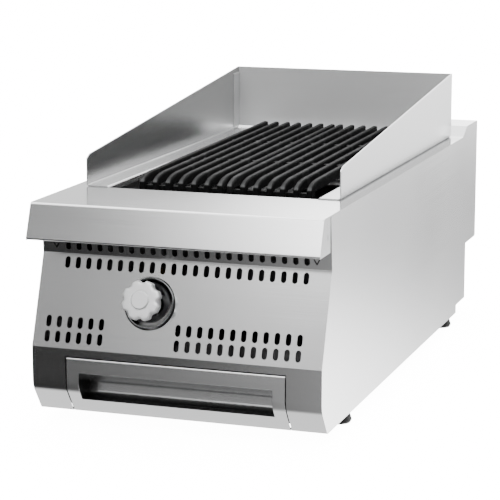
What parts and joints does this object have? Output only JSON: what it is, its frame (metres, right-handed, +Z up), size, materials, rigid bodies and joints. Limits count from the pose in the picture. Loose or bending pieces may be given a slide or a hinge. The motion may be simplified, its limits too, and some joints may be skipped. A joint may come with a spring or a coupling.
{
  "type": "gas charbroiler grill",
  "caption": "Counter-top gas charbroiler: stainless cabinet with cast grates, splash guard, dished control knob and pull-out drip drawer.",
  "frame": {"origin": "under the middle of the appliance, on the surface that its feet stand on", "axes": "+X to the right seen from the front, +Y from the control panel to the back, +Z up"},
  "size_m": [0.4, 0.9064, 0.4025],
  "materials": {
    "steel": "brushed",
    "inner_steel": "brushed",
    "iron": "satin",
    "chrome": "polished",
    "knob": "satin",
    "brass": "satin",
    "pipe": "satin",
    "rubber": "matte"
  },
  "bodies": {
    "cabinet": {"worktop": "steel", "side_left": "steel", "side_right": "steel", "control_panel": "steel", "base_plate": "inner_steel", "rear_panel": "steel", "rear_cover": "steel", "flue_grille": "iron", "firebox": "inner_steel", "heat_shield": "inner_steel", "grease_funnel": "inner_steel", "front_gutter": "inner_steel", "rear_shelf": "inner_steel", "burner": "inner_steel", "burner_saddles": "inner_steel", "radiant_left": "inner_steel", "radiant_right": "inner_steel", "radiant_shelf_front": "inner_steel", "radiant_shelf_rear": "inner_steel", "knob_bezel": "chrome", "valve_bonnet": "brass", "bonnet_nut": "brass", "valve_bracket": "inner_steel", "valve_body": "brass", "burner_feed_pipe": "brass", "injector": "brass", "gas_supply_pipe": "pipe", "gas_inlet": "brass", "gas_lock_nut": "brass", "pilot_burner": "brass", "pilot_tube": "pipe", "runner_left": "inner_steel", "runner_right": "inner_steel", "foot_front_left": "rubber", "foot_front_right": "rubber", "foot_rear_left": "rubber", "foot_rear_right": "rubber", "foot_screws": "inner_steel", "rear_screws": "inner_steel"},
    "drawer": {"drawer_front": "steel", "drawer_cheek_left": "steel", "drawer_cheek_right": "steel", "grip_scoop": "inner_steel", "drip_pan": "inner_steel", "pan_side_left": "inner_steel", "pan_side_right": "inner_steel", "drawer_rivets": "steel"},
    "guard": {"guard_left": "steel", "guard_right": "steel", "guard_back": "steel"},
    "grate_left": {"grate_left": "iron"},
    "grate_right": {"grate_right": "iron"},
    "plunger": {"valve_plunger": "brass", "valve_spring": "inner_steel"},
    "knob": {"knob": "knob", "knob_cap": "knob", "valve_spindle": "inner_steel"}
  },
  "joints": [
    {"name": "drawer_slide", "type": "slide", "parent": "cabinet", "child": "drawer", "axis": [0, -1, 0], "range_m": [0, 0.4]},
    {"name": "guard_lift", "type": "slide", "parent": "cabinet", "child": "guard", "axis": [0, 0, 1], "range_m": [0, 0.15]},
    {"name": "grate_left_lift", "type": "slide", "parent": "cabinet", "child": "grate_left", "axis": [0, 0, 1], "range_m": [0, 0.12]},
    {"name": "grate_right_lift", "type": "slide", "parent": "cabinet", "child": "grate_right", "axis": [0, 0, 1], "range_m": [0, 0.12]},
    {"name": "knob_push", "type": "slide", "parent": "cabinet", "child": "plunger", "axis": [0, 0.9434, -0.3316], "range_m": [0, 0.0035], "stiffness_N_per_m": 1500, "springref_m": -0.004},
    {"name": "knob_turn", "type": "hinge", "parent": "plunger", "child": "knob", "pos_m": [-0.041, -0.41133, 0.17175], "axis": [0, -0.9434, 0.3316], "range_deg": [0, 180]}
  ]
}
